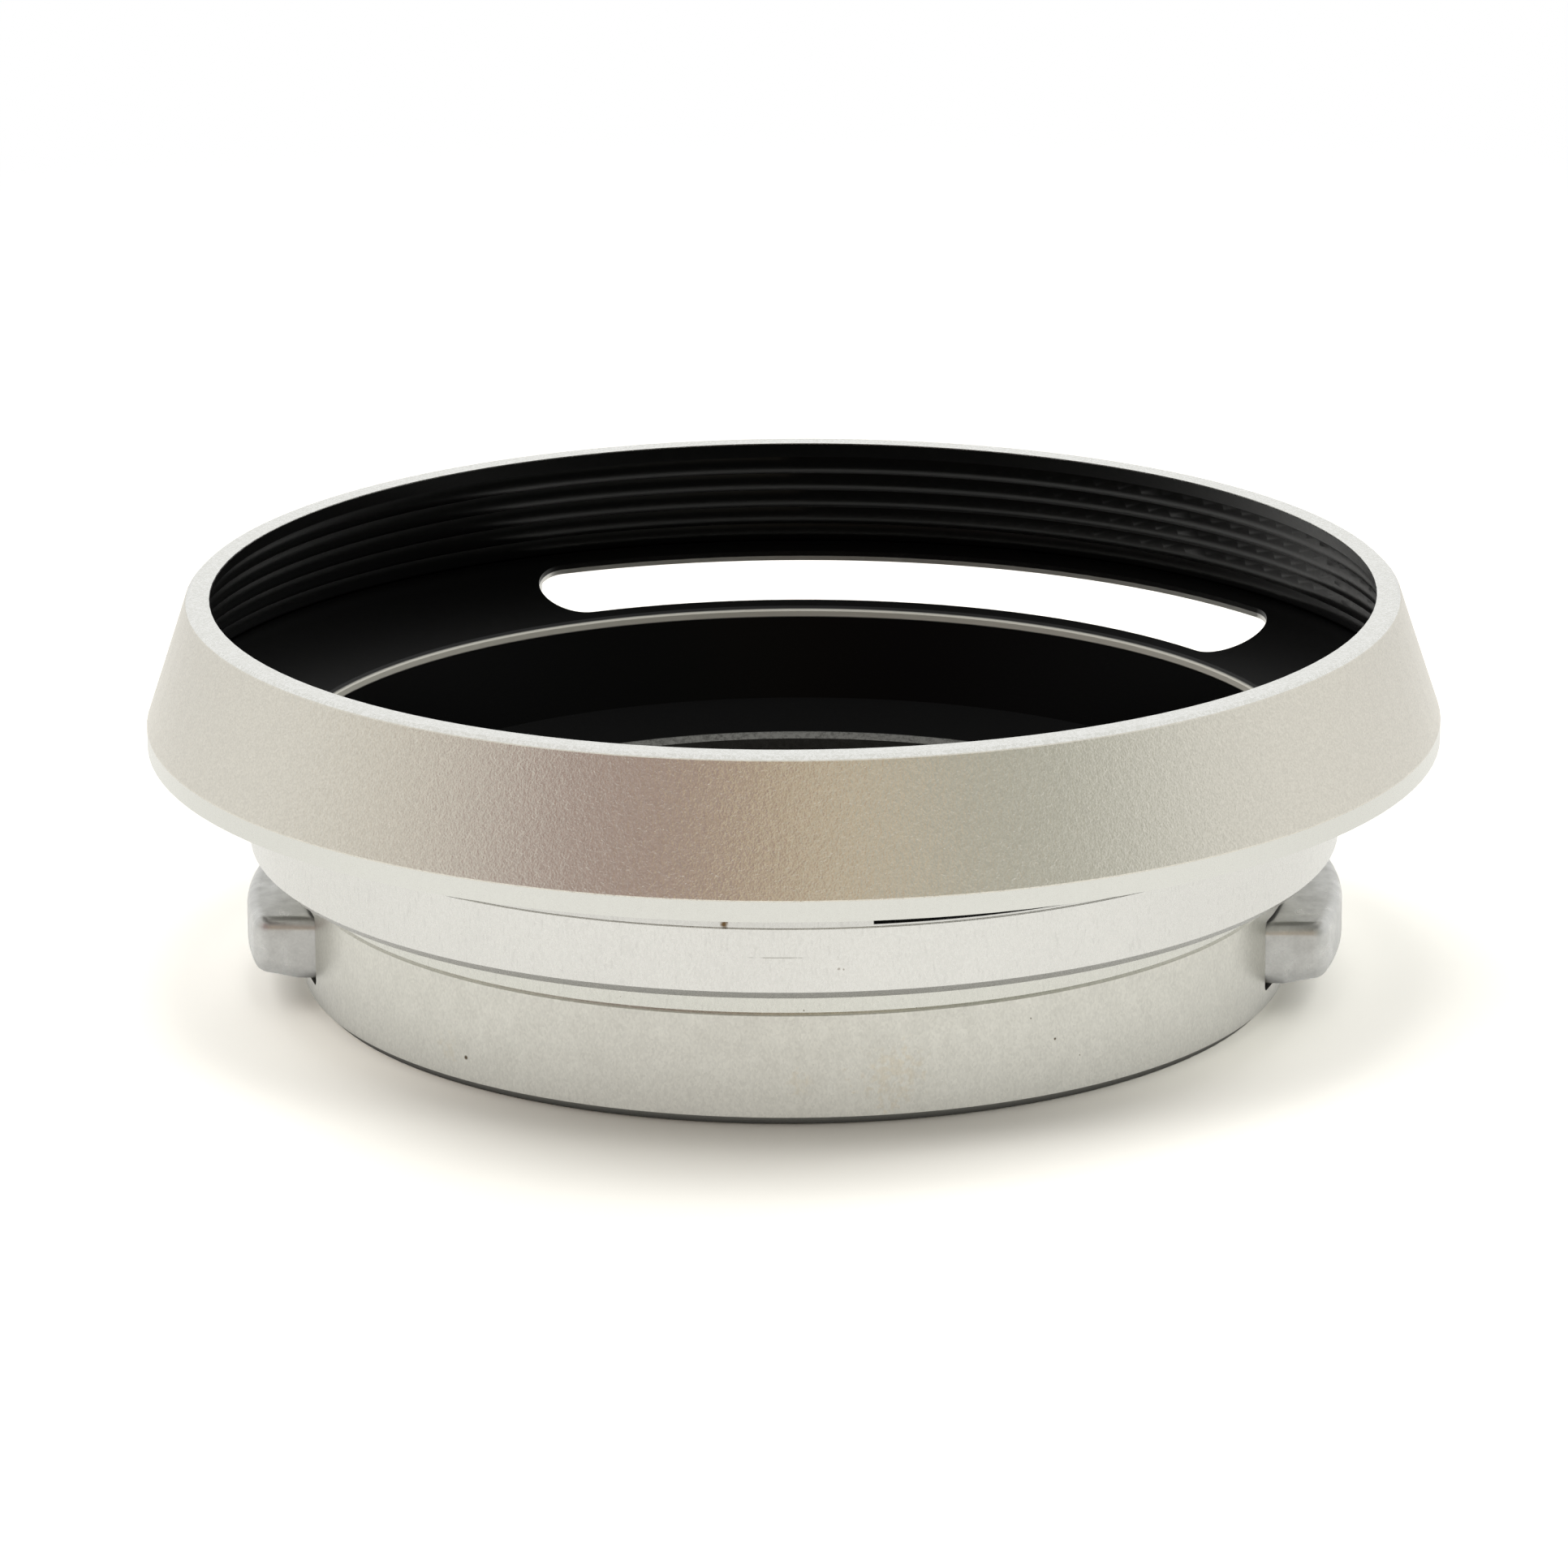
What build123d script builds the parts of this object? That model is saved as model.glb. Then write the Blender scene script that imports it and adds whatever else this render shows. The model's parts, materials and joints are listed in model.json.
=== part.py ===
from build123d import *
from math import degrees, sqrt
import os

# Vented metal lens hood that clips onto a 42 mm lens nose with two push buttons.
# Millimetres. Origin: centre of the resting face at the mount end, +Z towards the front rim,
# buttons at +X and -X.

# Driving dimensions of the shade
band_r = 31.0            # widest radius, at the plain band round the foot of the skirt
height = 19.15           # overall, mount face to front rim
rim_outer_r = 29.05
rim_inner_r = 27.85
rim_chamfer = 0.2
band_top_z = 13.1
band_bottom_z = 12.1
skirt_inner_r = 29.9     # inside of the overhanging foot of the skirt
skirt_foot_rise = 0.55   # the foot's underside rises inwards by this much
rim_land = 0.03          # the rim's bore is this much wider than the liner's

# The liner: a front wall that widens towards its foot, then the funnel down to the throat
wall_foot_r = 30.0
funnel_top_z = 13.4
throat_r = 24.4
throat_z = 11.3
wall_thickness = 0.45    # of the liner's front wall, measured across the axis
liner_recess = 0.05      # the liner's lip lies this far below the rim
liner_drop = 0.48        # funnel skin thickness, measured along Z
throat_chamfer = 0.25
ridge_count = 5
ridge_depth = 0.14
ridge_first_z = 18.35    # top of the highest ridge; a plain lip lies above it
ridge_crown = 0.2        # a ridge stands into the bore by this share of its depth

# The barrel behind the shade
barrel_r = 26.2
barrel_top_z = 10.25     # a fine groove runs round here
groove_width = 0.06
groove_depth = 0.03
riser_r = 26.15          # upright stretch between the groove and the flange
riser_top_z = 10.95
flange_r = 28.6          # the flange carries the funnel's outer half
flange_edge_z = 12.1
barrel_bottom_z = 6.85
barrel_chamfer = 0.4
barrel_bore_r = 24.85    # bore that holds the throat ring
shoulder_z = 7.6
neck_bore_r = 23.2
union_top_z = 6.2

# The collar and what it holds
collar_r = 23.75
collar_bore_r = 22.85
collar_height = 5.4
collar_chamfer = 0.45
seam_chamfer = 0.09      # both edges of the seam between barrel and collar
seat_r = 21.1            # running fit on a 42 mm lens nose
stop_r = 20.4
stop_z = 4.9             # the lens nose butts here
stop_thickness = 0.9
stop_chamfer = 0.25
ledge_outer_r = 22.9
ledge_outer_z = 7.0
spigot_r = 21.8          # throat ring's spigot in the guide ring
cover_thickness = 1.65
lead_in = 0.25
notch_width = 1.3        # spanner notches in the cover
notch_depth = 0.6
notch_wall = 0.25
notch_angles = (45.0, 225.0)

# The two catch slides
travel = 0.8
slide_outer_r = 22.35
slide_inner_r = 21.55
slide_thickness = 0.6
lower_slide_z = 1.7
upper_slide_z = 2.6
claw_r = 20.6            # how far the claw stands into the seat at rest
claw_half_angle = 20.0
claw_bevel = 0.2
tab_root = 22.0
tab_reach = 24.9
tab_half_width = 4.5
spacer_z = 2.35
spacer_thickness = 0.2
spacer_outer_r = 22.6
spacer_inner_r = 21.4
guide_bottom_z = 3.25

# Stop pins
pin_r = 0.35
pin_x = 6.9
pin_circle_r = 22.39
pin_bottom_z = 1.67
pin_top_z = 4.1
pin_clearance = 0.03
stop_notch_reach = 3.0   # far enough to cut through the slide's outer edge

# Springs
spring_y = 21.975
spring_r = 0.42          # outside of the coil
wire_r = 0.09
spring_turns = 8
spring_end_gap = 0.02
pocket_half_width = 0.525
pocket_depth = 1.1
pocket_fixed_x = 2.6
lug_x = 2.2
lug_length = 0.8
lug_depth = 0.95
lug_inner_y = 21.5
lug_outer_y = 22.2
lug_root = 0.1           # a lug is sunk this deep in its slide
lug_gap = 0.4            # free space behind a lug at rest

# Buttons
button_half_width = 7.15
button_bottom_z = 1.4
button_top_z = 4.5
button_back_r = 23.6
button_core_r = 15.0     # the ring that buttons are cut from starts here
button_front_r = 26.45   # the front is round about the optical axis
button_sole_r = 24.4     # the underside rises from here to the front
button_rise = 0.4
button_corner = 0.8      # upright edges at both ends of the front
button_top_round = 0.6
button_low_round = 0.75
window_gap = 0.18
window_corner_r = 0.3
press_clearance = 0.15   # between a fully pressed button and the rings behind it
inside_x = 20.0          # cutters for the buttons start here, inside the collar
rivet_r = 0.4
rivet_x = 24.35
rivet_y = 3.2
rivet_head_z = 1.43
rivet_grip = 0.3         # how far a rivet enters the button above the tab

# Vents: curved slots with round ends, milled from the front
vent_r = 27.15           # centre line of the slots
vent_width = 4.0
vent_floor_z = 10.37
vent_arcs = ((34.7, 120.2), (165.5, 235.5), (279.4, 349.4))   # from tip to tip, in degrees

# Set screws that lock the union thread from inside
lock_screw_r = 0.7
lock_screw_angles = (45.0, 135.0, 225.0, 315.0)
lock_screw_z = 4.2
lock_screw_length = 1.4
lock_screw_tip_r = collar_bore_r - 0.02
lock_slot_width = 0.2
lock_slot_depth = 0.3

over = 1.0               # how far a cutter reaches past what it cuts
slight = 0.01            # closer than this counts as the same place

funnel_slope = (funnel_top_z - throat_z) / (wall_foot_r - throat_r)
wall_flare = (wall_foot_r - rim_inner_r) / (height - funnel_top_z)


def funnel_z(r, drop=0.0):
    """Height of the funnel's face at radius r, or of a parallel face that lies drop below it."""
    return throat_z + (r - throat_r) * funnel_slope - drop


def wall_r(z, depth=0.0):
    """Radius of the liner's front wall at height z, or of a parallel wall that far outside it."""
    return rim_inner_r + (height - z) * wall_flare + depth


foot_reach = wall_r(funnel_z(throat_r, liner_drop), wall_thickness) - throat_r
liner_foot_r = throat_r + foot_reach / (1 + funnel_slope * wall_flare)   # outer foot of the liner


def ring(points):
    """Solid of revolution about Z from (radius, height) points."""
    outline = Polyline(*[(r, 0, z) for r, z in points], close=True)
    return revolve(make_face(outline), Axis.Z)


def disc(r, z0, z1, x=0.0, y=0.0):
    return Pos(x, y, z0) * Cylinder(r, z1 - z0, align=(Align.CENTER, Align.CENTER, Align.MIN))


def block(x0, x1, y0, y1, z0, z1):
    size = Box(x1 - x0, y1 - y0, z1 - z0, align=(Align.MIN, Align.MIN, Align.MIN))
    return Pos(x0, y0, z0) * size


def mirrored(shape):
    """The same piece on the other side of the YZ plane."""
    return mirror(shape, Plane.YZ)


def pin_places():
    y = sqrt(pin_circle_r**2 - pin_x**2)
    return [(sx * pin_x, sy * y) for sx in (1, -1) for sy in (1, -1)]


def vent_cutters():
    """Three slots that follow the circle vent_r, each with half-round ends."""
    tip = degrees(vent_width / 2 / vent_r)
    cutters = []
    for start, end in vent_arcs:
        middle_line = CenterArc((0, 0), vent_r, start + tip, end - start - 2 * tip)
        slot = extrude(SlotArc(middle_line, vent_width), funnel_top_z - vent_floor_z)
        cutters.append(Pos(0, 0, vent_floor_z) * slot)
    return cutters


def front_shade():
    """The skirt: flat rim, outer cone, plain band and its overhanging foot."""
    foot_z = band_bottom_z + skirt_foot_rise
    liner_foot_z = funnel_z(skirt_inner_r, liner_drop)
    rim_bore_r = rim_inner_r + rim_land
    lip_z = height - liner_recess
    lip_foot_z = lip_z - wall_thickness
    lip_foot_r = wall_r(lip_foot_z, wall_thickness)
    bore_foot_z = lip_z - rim_land * wall_thickness / (lip_foot_r - rim_inner_r)
    points = [(rim_bore_r, height), (rim_outer_r - rim_chamfer, height)]
    points += [(rim_outer_r, height - rim_chamfer), (band_r, band_top_z), (band_r, band_bottom_z)]
    points += [(skirt_inner_r, foot_z), (skirt_inner_r, liner_foot_z)]
    points += [(liner_foot_r, funnel_z(liner_foot_r, liner_drop))]
    points += [(lip_foot_r, lip_foot_z), (rim_bore_r, bore_foot_z)]
    return ring(points)


def liner_outline():
    """Section of the liner: lip, rounded ridges, funnel face and the parallel back."""
    lip_z = height - liner_recess
    lip_foot_z = lip_z - wall_thickness
    pitch = (ridge_first_z - funnel_top_z) / ridge_count
    valleys = [ridge_first_z - i * pitch for i in range(ridge_count + 1)]
    edges = [Line((rim_inner_r, 0, lip_z), (wall_r(ridge_first_z), 0, ridge_first_z))]
    edges.append(Line((wall_r(ridge_first_z), 0, ridge_first_z),
                      (wall_r(ridge_first_z, ridge_depth), 0, ridge_first_z)))
    for top, bottom in zip(valleys[:-1], valleys[1:]):
        crown_z = (top + bottom) / 2
        crown = (wall_r(crown_z, -ridge_depth * ridge_crown), 0, crown_z)
        upper = (wall_r(top, ridge_depth), 0, top)
        lower = (wall_r(bottom, ridge_depth), 0, bottom)
        edges.append(ThreePointArc(upper, crown, lower))
    foot_r = wall_r(funnel_top_z, ridge_depth)
    points = [(foot_r, 0, funnel_top_z), (wall_foot_r, 0, funnel_top_z)]
    points += [(throat_r + throat_chamfer, 0, funnel_z(throat_r + throat_chamfer))]
    points += [(throat_r, 0, throat_z - throat_chamfer / 2), (throat_r, 0, funnel_z(throat_r, liner_drop))]
    points += [(liner_foot_r, 0, funnel_z(liner_foot_r, liner_drop))]
    points += [(wall_r(lip_foot_z, wall_thickness), 0, lip_foot_z), (rim_inner_r, 0, lip_z)]
    edges += [Line(a, b) for a, b in zip(points[:-1], points[1:])]
    return make_face(Wire(edges))


def baffle_funnel():
    """Black liner: ridged front wall and vented funnel in one turned piece."""
    liner = revolve(liner_outline(), Axis.Z)
    for slot in vent_cutters():
        liner -= slot
    return liner


def rear_barrel():
    """Flange with the vents, brushed cylinder and the narrow neck above the seam."""
    points = [(flange_r, funnel_z(flange_r, liner_drop)), (flange_r, flange_edge_z)]
    points += [(riser_r, riser_top_z), (riser_r, barrel_top_z + groove_width / 2)]
    points += [(riser_r - groove_depth, barrel_top_z), (barrel_r, barrel_top_z - groove_width / 2)]
    points += [(barrel_r, barrel_bottom_z + barrel_chamfer)]
    points += [(barrel_r - barrel_chamfer, barrel_bottom_z), (collar_r, barrel_bottom_z)]
    points += [(collar_r, collar_height + seam_chamfer), (collar_r - seam_chamfer, collar_height)]
    points += [(collar_bore_r, collar_height), (collar_bore_r, union_top_z)]
    points += [(neck_bore_r, union_top_z), (neck_bore_r, shoulder_z), (barrel_bore_r, shoulder_z)]
    points += [(barrel_bore_r, funnel_z(barrel_bore_r, liner_drop))]
    barrel = ring(points)
    for slot in vent_cutters():
        barrel -= slot
    return barrel


def throat_ring():
    """Black throat wall, sloping ledge and the lip that stops the lens nose."""
    stop_top_z = stop_z + stop_thickness
    points = [(throat_r, funnel_z(throat_r, liner_drop)), (ledge_outer_r, ledge_outer_z)]
    points += [(stop_r + stop_chamfer, stop_top_z), (stop_r, stop_top_z - stop_chamfer)]
    points += [(stop_r, stop_z), (spigot_r, stop_z), (spigot_r, union_top_z)]
    points += [(neck_bore_r, union_top_z), (neck_bore_r, shoulder_z), (barrel_bore_r, shoulder_z)]
    points += [(barrel_bore_r, funnel_z(barrel_bore_r, liner_drop))]
    return ring(points)


def spring_pockets(z0, z1, catch_side):
    """Front and back pockets for the springs of the catch on one side, +1 right or -1 left."""
    free_x = lug_x + lug_length + lug_gap
    x0, x1 = (-pocket_fixed_x, free_x) if catch_side > 0 else (-free_x, pocket_fixed_x)
    y0, y1 = spring_y - pocket_half_width, spring_y + pocket_half_width
    return [block(x0, x1, y0, y1, z0, z1), block(x0, x1, -y1, -y0, z0, z1)]


def button_reliefs(z0, z1):
    """Shallow hollows in the rings behind both buttons, which leave room for the travel."""
    half = button_half_width + window_gap
    relief = block(inside_x, band_r, -half, half, z0, z1)
    relief -= disc(button_back_r, z0 - over, z1 + over, -travel - press_clearance)
    return [relief, mirrored(relief)]


def guide_ring():
    """Threaded union between collar and barrel; its bore is the lens seat."""
    points = [(seat_r, guide_bottom_z), (collar_bore_r, guide_bottom_z)]
    points += [(collar_bore_r, union_top_z), (spigot_r, union_top_z)]
    points += [(spigot_r, stop_z), (seat_r, stop_z)]
    body = ring(points)
    body -= spring_pockets(guide_bottom_z, guide_bottom_z + pocket_depth, -1)
    body -= button_reliefs(guide_bottom_z, button_top_z + window_gap)
    for x, y in pin_places():
        body -= disc(pin_r, guide_bottom_z, pin_top_z, x, y)
    for angle in lock_screw_angles:
        body -= lock_screw_blank(angle, lock_screw_length)
    return body


def lock_screw_blank(angle, length):
    screw = Cylinder(lock_screw_r, length, align=(Align.CENTER, Align.CENTER, Align.MAX))
    return Rot(0, 0, angle) * Pos(lock_screw_tip_r, 0, lock_screw_z) * Rot(0, 90, 0) * screw


def lock_screws():
    """Four slotted set screws, driven from the bore against the collar's wall."""
    screws = []
    for angle in lock_screw_angles:
        half_slot = lock_slot_width / 2
        slot = block(-over, lock_slot_depth, -half_slot, half_slot, -over, over)
        at_head = Rot(0, 0, angle) * Pos(lock_screw_tip_r - lock_screw_length, 0, lock_screw_z)
        screws.append(lock_screw_blank(angle, lock_screw_length) - at_head * slot)
    return Compound(screws)


def mount_collar():
    """Outer sleeve of the mount, with a window on each side for its button."""
    points = [(collar_bore_r, 0), (collar_r - collar_chamfer, 0), (collar_r, collar_chamfer)]
    points += [(collar_r, collar_height - seam_chamfer), (collar_r - seam_chamfer, collar_height)]
    points += [(collar_bore_r, collar_height)]
    collar = ring(points)
    half = button_half_width + window_gap
    window = block(-band_r, band_r, -half, half, button_bottom_z - window_gap,
                   button_top_z + window_gap)
    window = fillet(window.edges().filter_by(Axis.X), window_corner_r)
    return collar - window


def rear_cover_ring():
    """Screwed-in ring that closes the mount; two notches take a spanner."""
    points = [(seat_r + lead_in, 0), (collar_bore_r, 0), (collar_bore_r, cover_thickness)]
    points += [(seat_r, cover_thickness), (seat_r, lead_in)]
    body = ring(points)
    body -= spring_pockets(cover_thickness - pocket_depth, cover_thickness, 1)
    body -= button_reliefs(button_bottom_z - window_gap, cover_thickness)
    half_notch = notch_width / 2
    notch = block(seat_r - over, collar_bore_r - notch_wall, -half_notch, half_notch, -over, notch_depth)
    for angle in notch_angles:
        body -= Rot(0, 0, angle) * notch
    return body


def slide_spacer():
    """Thin shim that keeps the two slides apart, located by the stop pins."""
    shim = disc(spacer_outer_r, spacer_z, spacer_z + spacer_thickness)
    shim -= disc(spacer_inner_r, spacer_z - over, spacer_z + over)
    for x, y in pin_places():
        shim -= disc(pin_r + pin_clearance, spacer_z - over, spacer_z + over, x, y)
    return shim


def stop_pins():
    """Four pins in the guide ring; notches in both slides meet them at the end of travel."""
    return Compound([disc(pin_r, pin_bottom_z, pin_top_z, x, y) for x, y in pin_places()])


def right_slide_at(z, lug_sign):
    """Slide whose tab is at +X and whose claw is at -X, drawn at rest."""
    middle = travel / 2
    top = z + slide_thickness
    plate = disc(slide_outer_r, z, top, middle)
    plate -= disc(slide_inner_r, z - over, top + over, middle)
    plate += claw(z)
    plate += block(tab_root, tab_reach, -tab_half_width, tab_half_width, z, top)
    notch_half = pin_r + middle + pin_clearance
    for x, y in pin_places():
        inner_y = abs(y) - pin_r - pin_clearance
        y0, y1 = (inner_y, inner_y + stop_notch_reach)
        y0, y1 = (y0, y1) if y > 0 else (-y1, -y0)
        plate -= block(x + middle - notch_half, x + middle + notch_half, y0, y1, z - over, top + over)
    z0, z1 = (z - lug_depth, z + lug_root) if lug_sign < 0 else (top - lug_root, top + lug_depth)
    for y0, y1 in ((lug_inner_y, lug_outer_y), (-lug_outer_y, -lug_inner_y)):
        plate += block(lug_x, lug_x + lug_length, y0, y1, z0, z1)
    for y in (rivet_y, -rivet_y):
        plate -= disc(rivet_r, z - over, top + over, rivet_x, y)
    return plate


def claw(z):
    """The hooked stretch on the far side, bevelled below so that it rides over the lens nose."""
    points = [(claw_r + claw_bevel, z), (slide_inner_r, z), (slide_inner_r, z + slide_thickness)]
    points += [(claw_r, z + slide_thickness), (claw_r, z + claw_bevel)]
    outline = make_face(Polyline(*[(r, 0, h) for r, h in points], close=True))
    arc = revolve(outline, Axis.Z, revolution_arc=2 * claw_half_angle)
    return Rot(0, 0, 180 - claw_half_angle) * arc


def button_blank():
    """Outside form of a button: a length of a flat ring with square ends and every outer edge soft."""
    half = button_half_width
    heel_z = button_bottom_z + button_rise
    points = [(button_core_r, button_bottom_z), (button_sole_r, button_bottom_z), (button_front_r, heel_z)]
    points += [(button_front_r, button_top_z), (button_core_r, button_top_z)]
    body = ring(points) & block(inside_x, band_r, -half, half, 0, height)
    uprights = [e for e in outer_edges(body) if climb(e) > button_rise + slight]
    body = fillet([e for e in uprights if e.center().X > button_sole_r], button_corner)
    body = fillet([e for e in outer_edges(body) if runs_at(e, button_top_z)], button_top_round)
    low = [e for e in outer_edges(body) if max(e.position_at(t).Z for t in (0, 0.5, 1)) < heel_z + slight]
    crease = [e for e in low if abs(e.center().Y) < slight and runs_at(e, button_bottom_z)]
    return fillet([e for e in low if e not in crease], button_low_round)


def climb(edge):
    return abs(edge.position_at(0).Z - edge.position_at(1).Z)


def outer_edges(body):
    """Edges of a button that don't lie on its flat back."""
    return [e for e in body.edges() if max(e.position_at(0).X, e.position_at(1).X) > inside_x + slight]


def runs_at(edge, z):
    return max(abs(edge.position_at(t).Z - z) for t in (0, 0.5, 1)) < slight


def right_button_for(z):
    """Button with the pocket for the slide's tab at height z and two rivet holes."""
    body = button_blank() - disc(button_back_r, 0, height)
    body -= block(inside_x, tab_reach, -tab_half_width, tab_half_width, z, z + slide_thickness)
    for y in (rivet_y, -rivet_y):
        body -= disc(rivet_r, 0, z + slide_thickness + rivet_grip, rivet_x, y)
    return body


def right_rivets_for(z):
    top = z + slide_thickness + rivet_grip
    return Compound([disc(rivet_r, rivet_head_z, top, rivet_x, y) for y in (rivet_y, -rivet_y)])


def spring(z, side):
    """Compression spring along X that pushes the right-hand slide outwards."""
    length = lug_x + pocket_fixed_x - 2 * spring_end_gap - 2 * wire_r
    coil_r = spring_r - wire_r
    path = Helix(length / spring_turns, length, coil_r)
    section = Plane(path.position_at(0), z_dir=path.tangent_at(0)) * Circle(wire_r)
    coil = sweep(section, path)
    along_x = Rot(0, 90, 0) * coil
    return Pos(-pocket_fixed_x + spring_end_gap + wire_r, side * spring_y, z) * along_x


lower_spring_z = cover_thickness - pocket_depth / 2
upper_spring_z = guide_bottom_z + pocket_depth / 2

nodes = {
    "front_shade": front_shade(),
    "baffle_funnel": baffle_funnel(),
    "rear_barrel": rear_barrel(),
    "throat_ring": throat_ring(),
    "guide_ring": guide_ring(),
    "lock_screws": lock_screws(),
    "mount_collar": mount_collar(),
    "rear_cover_ring": rear_cover_ring(),
    "slide_spacer": slide_spacer(),
    "stop_pins": stop_pins(),
    "right_slide": right_slide_at(lower_slide_z, -1),
    "left_slide": mirrored(right_slide_at(upper_slide_z, 1)),
    "right_button": right_button_for(lower_slide_z),
    "left_button": mirrored(right_button_for(upper_slide_z)),
    "right_button_rivets": right_rivets_for(lower_slide_z),
    "left_button_rivets": mirrored(right_rivets_for(upper_slide_z)),
    "right_spring_front": spring(lower_spring_z, -1),
    "right_spring_back": spring(lower_spring_z, 1),
    "left_spring_front": mirrored(spring(upper_spring_z, -1)),
    "left_spring_back": mirrored(spring(upper_spring_z, 1)),
}

os.makedirs("parts", exist_ok=True)
for name, shape in nodes.items():
    export_step(shape, f"parts/{name}.step")
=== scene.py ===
import json
import math
import bpy
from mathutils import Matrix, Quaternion, Vector


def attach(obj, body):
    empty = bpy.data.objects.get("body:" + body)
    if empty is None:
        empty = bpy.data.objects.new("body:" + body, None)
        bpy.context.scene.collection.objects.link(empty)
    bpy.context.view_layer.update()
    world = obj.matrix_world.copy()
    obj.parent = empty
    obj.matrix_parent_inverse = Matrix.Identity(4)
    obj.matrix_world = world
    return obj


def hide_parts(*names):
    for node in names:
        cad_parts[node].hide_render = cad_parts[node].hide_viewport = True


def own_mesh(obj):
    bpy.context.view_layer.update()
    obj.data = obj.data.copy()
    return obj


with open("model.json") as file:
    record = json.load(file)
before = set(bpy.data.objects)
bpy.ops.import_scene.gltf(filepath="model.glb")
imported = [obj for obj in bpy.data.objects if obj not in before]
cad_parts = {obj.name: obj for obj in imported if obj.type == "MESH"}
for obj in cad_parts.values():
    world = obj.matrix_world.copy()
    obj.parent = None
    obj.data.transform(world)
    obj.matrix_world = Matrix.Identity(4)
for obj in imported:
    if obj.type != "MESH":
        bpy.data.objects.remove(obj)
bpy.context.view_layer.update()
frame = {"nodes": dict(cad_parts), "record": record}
nodes = frame["nodes"]
mm = 0.001
print("frame loaded with", len(nodes), "nodes")

scene = bpy.context.scene
scene.view_settings.view_transform = "Standard"


cameraLook = {
    "distance": 0.372,         # from the middle of the resting face
    "elevation": 18.01,
    "turn": 2.1,               # degrees round the optical axis from straight in front
    "aim": (-0.00048, 0.0, 0.00923),
    "roll": -0.346,
    "lens": 175.8,
    "sensor": 36.0,
    "nearest": 0.01,
    "farthest": 20.0,
}


def makeCamera(look):
    data = bpy.data.cameras.new("studioCamera")
    data.lens = look["lens"]
    data.sensor_width = look["sensor"]
    data.clip_start = look["nearest"]
    data.clip_end = look["farthest"]
    camera = bpy.data.objects.new("studioCamera", data)
    scene.collection.objects.link(camera)
    tilt = math.radians(look["elevation"])
    around = Quaternion((0.0, 0.0, 1.0), math.radians(look["turn"]))
    place = around @ Vector((0.0, -math.cos(tilt), math.sin(tilt))) * look["distance"]
    turn = (around @ Vector(look["aim"]) - place).to_track_quat("-Z", "Y")
    camera.rotation_mode = "QUATERNION"
    camera.rotation_quaternion = turn @ Quaternion((0.0, 0.0, 1.0), math.radians(look["roll"]))
    camera.location = place
    scene.camera = camera


makeCamera(cameraLook)
print("camera ready")


def polar(r, angle, z):
    # a point from its radius and height in mm and its angle in degrees, in metres
    turn = math.radians(angle)
    return (r * math.cos(turn) * mm, r * math.sin(turn) * mm, z * mm)


def rgba(colour):
    return (*colour, 1.0)


def put(tree, kind, sockets=None, **settings):
    # adds one node; a socket given as another node's output is linked, anything else is its value
    node = tree.nodes.new("ShaderNode" + kind)
    for name, value in settings.items():
        setattr(node, name, value)
    for name, value in (sockets or {}).items():
        if isinstance(value, bpy.types.NodeSocket):
            tree.links.new(value, node.inputs[name])
        else:
            node.inputs[name].default_value = value
    return node


def calc(tree, operation, *values):
    return put(tree, "Math", dict(enumerate(values)), operation=operation).outputs[0]


def spread(tree, value, low, high, toLow=0.0, toHigh=1.0, smooth=True):
    # maps value from low..high to toLow..toHigh, clamped
    node = put(tree, "MapRange", {"Value": value, "From Min": low, "From Max": high,
                                  "To Min": toLow, "To Max": toHigh})
    node.interpolation_type = "SMOOTHSTEP" if smooth else "LINEAR"
    return node.outputs["Result"]


def vary(tree, mask, middle, swing):
    # runs evenly from middle - swing where the mask is 0 to middle + swing where it is 1
    return spread(tree, mask, 0.0, 1.0, middle - swing, middle + swing, False)


def mixValue(tree, amount, first, second):
    # first where amount is 0, second where it is 1
    return put(tree, "Mix", {"Factor": amount, "A": first, "B": second}, data_type="FLOAT").outputs[0]


def blendColour(tree, amount, first, second):
    # the same for colours; a fixed colour is given as three numbers
    first, second = (colour if isinstance(colour, bpy.types.NodeSocket) else rgba(colour)
                     for colour in (first, second))
    return put(tree, "Mix", {0: amount, 6: first, 7: second}, data_type="RGBA").outputs[2]


def scaleColour(tree, colour, amount):
    return put(tree, "VectorMath", {0: colour, "Scale": amount}, operation="SCALE").outputs[0]


def newGroup(name, **values):
    # a shared pattern: it takes a place and the named values, and gives one mask
    group = bpy.data.node_groups.new(name, "ShaderNodeTree")
    group.interface.new_socket(name="place", in_out="INPUT", socket_type="NodeSocketVector")
    for label, value in values.items():
        kind = "NodeSocketVector" if isinstance(value, tuple) else "NodeSocketFloat"
        socket = group.interface.new_socket(name=label, in_out="INPUT", socket_type=kind)
        socket.default_value = value
    group.interface.new_socket(name="mask", in_out="OUTPUT", socket_type="NodeSocketFloat")
    given = group.nodes.new("NodeGroupInput")
    end = group.nodes.new("NodeGroupOutput")
    return group, given.outputs, end.inputs


def useGroup(tree, group, place, **values):
    return put(tree, "Group", {"place": place, **values}, node_tree=group).outputs["mask"]


patternLook = {
    "grainScales": (1.0, 0.33),    # a fine noise, and one three times as coarse
    "grainDetail": 1.0,
    "speckSizes": (0.4, 1.0),      # from cell to cell, as shares of the given radius
    "speckEdge": (1.1, 0.7),
    "markNoise": 3.0,              # noise waves per mm
    "markDetail": 4.0,
    "markReach": 3.0,              # how far the noise moves the limit at a raggedness of 1
    "markEdge": (1.0, 0.25),
}


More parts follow.
